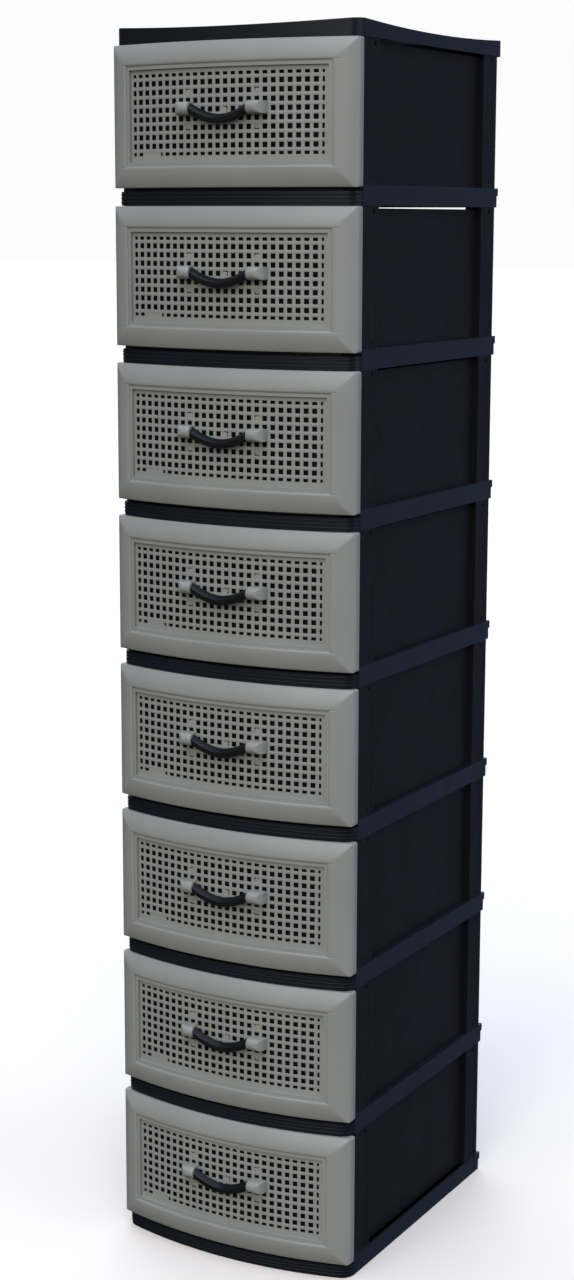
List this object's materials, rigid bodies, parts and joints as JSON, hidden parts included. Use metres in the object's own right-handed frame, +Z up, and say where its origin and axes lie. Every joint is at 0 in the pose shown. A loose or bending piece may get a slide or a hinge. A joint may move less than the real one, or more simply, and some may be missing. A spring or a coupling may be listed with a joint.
{
  "type": "drawer tower",
  "caption": "Free-standing tower of stacked plastic drawers with bowed lattice fronts, swinging bail grips and open-decked snap-together frames.",
  "frame": {"origin": "middle of the footprint on the floor", "axes": "+Z up, -Y out of the drawer fronts, +X to the right of someone who faces the drawers from outside"},
  "size_m": [0.3548, 0.4588, 1.621],
  "materials": {
    "frame_plastic": "satin blue-black moulded plastic",
    "panel_plastic": "satin black moulded plastic",
    "tray_plastic": "fine-grained black moulded plastic",
    "front_plastic": "satin warm grey moulded plastic",
    "grip_plastic": "polished black moulded plastic"
  },
  "bodies": {
    "carcass": {"base_frame": "frame_plastic", "top_cover": "frame_plastic", "tier_frame_2": "frame_plastic", "tier_frame_3": "frame_plastic", "tier_frame_4": "frame_plastic", "tier_frame_5": "frame_plastic", "tier_frame_6": "frame_plastic", "tier_frame_7": "frame_plastic", "tier_frame_8": "frame_plastic", "side_panel_left_1": "panel_plastic", "side_panel_left_2": "panel_plastic", "side_panel_left_3": "panel_plastic", "side_panel_left_4": "panel_plastic", "side_panel_left_5": "panel_plastic", "side_panel_left_6": "panel_plastic", "side_panel_left_7": "panel_plastic", "side_panel_left_8": "panel_plastic", "side_panel_right_1": "panel_plastic", "side_panel_right_2": "panel_plastic", "side_panel_right_3": "panel_plastic", "side_panel_right_4": "panel_plastic", "side_panel_right_5": "panel_plastic", "side_panel_right_6": "panel_plastic", "side_panel_right_7": "panel_plastic", "side_panel_right_8": "panel_plastic", "back_panel_1": "panel_plastic", "back_panel_2": "panel_plastic", "back_panel_3": "panel_plastic", "back_panel_4": "panel_plastic", "back_panel_5": "panel_plastic", "back_panel_6": "panel_plastic", "back_panel_7": "panel_plastic", "back_panel_8": "panel_plastic"},
    "drawer_1": {"drawer_tray_1": "tray_plastic", "drawer_front_1": "front_plastic"},
    "grip_1": {"bail_handle_1": "grip_plastic"},
    "drawer_2": {"drawer_tray_2": "tray_plastic", "drawer_front_2": "front_plastic"},
    "grip_2": {"bail_handle_2": "grip_plastic"},
    "drawer_3": {"drawer_tray_3": "tray_plastic", "drawer_front_3": "front_plastic"},
    "grip_3": {"bail_handle_3": "grip_plastic"},
    "drawer_4": {"drawer_tray_4": "tray_plastic", "drawer_front_4": "front_plastic"},
    "grip_4": {"bail_handle_4": "grip_plastic"},
    "drawer_5": {"drawer_tray_5": "tray_plastic", "drawer_front_5": "front_plastic"},
    "grip_5": {"bail_handle_5": "grip_plastic"},
    "drawer_6": {"drawer_tray_6": "tray_plastic", "drawer_front_6": "front_plastic"},
    "grip_6": {"bail_handle_6": "grip_plastic"},
    "drawer_7": {"drawer_tray_7": "tray_plastic", "drawer_front_7": "front_plastic"},
    "grip_7": {"bail_handle_7": "grip_plastic"},
    "drawer_8": {"drawer_tray_8": "tray_plastic", "drawer_front_8": "front_plastic"},
    "grip_8": {"bail_handle_8": "grip_plastic"}
  },
  "joints": [
    {"name": "drawer_1_slide", "type": "slide", "parent": "carcass", "child": "drawer_1", "axis": [0, -1, 0], "range_m": [0, 0.285]},
    {"name": "drawer_2_slide", "type": "slide", "parent": "carcass", "child": "drawer_2", "axis": [0, -1, 0], "range_m": [0, 0.285]},
    {"name": "drawer_3_slide", "type": "slide", "parent": "carcass", "child": "drawer_3", "axis": [0, -1, 0], "range_m": [0, 0.285]},
    {"name": "drawer_4_slide", "type": "slide", "parent": "carcass", "child": "drawer_4", "axis": [0, -1, 0], "range_m": [0, 0.285]},
    {"name": "drawer_5_slide", "type": "slide", "parent": "carcass", "child": "drawer_5", "axis": [0, -1, 0], "range_m": [0, 0.285]},
    {"name": "drawer_6_slide", "type": "slide", "parent": "carcass", "child": "drawer_6", "axis": [0, -1, 0], "range_m": [0, 0.285]},
    {"name": "drawer_7_slide", "type": "slide", "parent": "carcass", "child": "drawer_7", "axis": [0, -1, 0], "range_m": [0, 0.285]},
    {"name": "drawer_8_slide", "type": "slide", "parent": "carcass", "child": "drawer_8", "axis": [0, -1, 0], "range_m": [0, 0.285]},
    {"name": "grip_1_swing", "type": "hinge", "parent": "drawer_1", "child": "grip_1", "pos_m": [0, -0.2231, 0.11632], "axis": [-1, 0, 0], "range_deg": [0, 95]},
    {"name": "grip_2_swing", "type": "hinge", "parent": "drawer_2", "child": "grip_2", "pos_m": [0, -0.2231, 0.31633], "axis": [-1, 0, 0], "range_deg": [0, 95]},
    {"name": "grip_3_swing", "type": "hinge", "parent": "drawer_3", "child": "grip_3", "pos_m": [0, -0.2231, 0.51633], "axis": [-1, 0, 0], "range_deg": [0, 95]},
    {"name": "grip_4_swing", "type": "hinge", "parent": "drawer_4", "child": "grip_4", "pos_m": [0, -0.2231, 0.71632], "axis": [-1, 0, 0], "range_deg": [0, 95]},
    {"name": "grip_5_swing", "type": "hinge", "parent": "drawer_5", "child": "grip_5", "pos_m": [0, -0.2231, 0.91632], "axis": [-1, 0, 0], "range_deg": [0, 95]},
    {"name": "grip_6_swing", "type": "hinge", "parent": "drawer_6", "child": "grip_6", "pos_m": [0, -0.2231, 1.11633], "axis": [-1, 0, 0], "range_deg": [0, 95]},
    {"name": "grip_7_swing", "type": "hinge", "parent": "drawer_7", "child": "grip_7", "pos_m": [0, -0.2231, 1.31632], "axis": [-1, 0, 0], "range_deg": [0, 95]},
    {"name": "grip_8_swing", "type": "hinge", "parent": "drawer_8", "child": "grip_8", "pos_m": [0, -0.2231, 1.51632], "axis": [-1, 0, 0], "range_deg": [0, 95]}
  ]
}
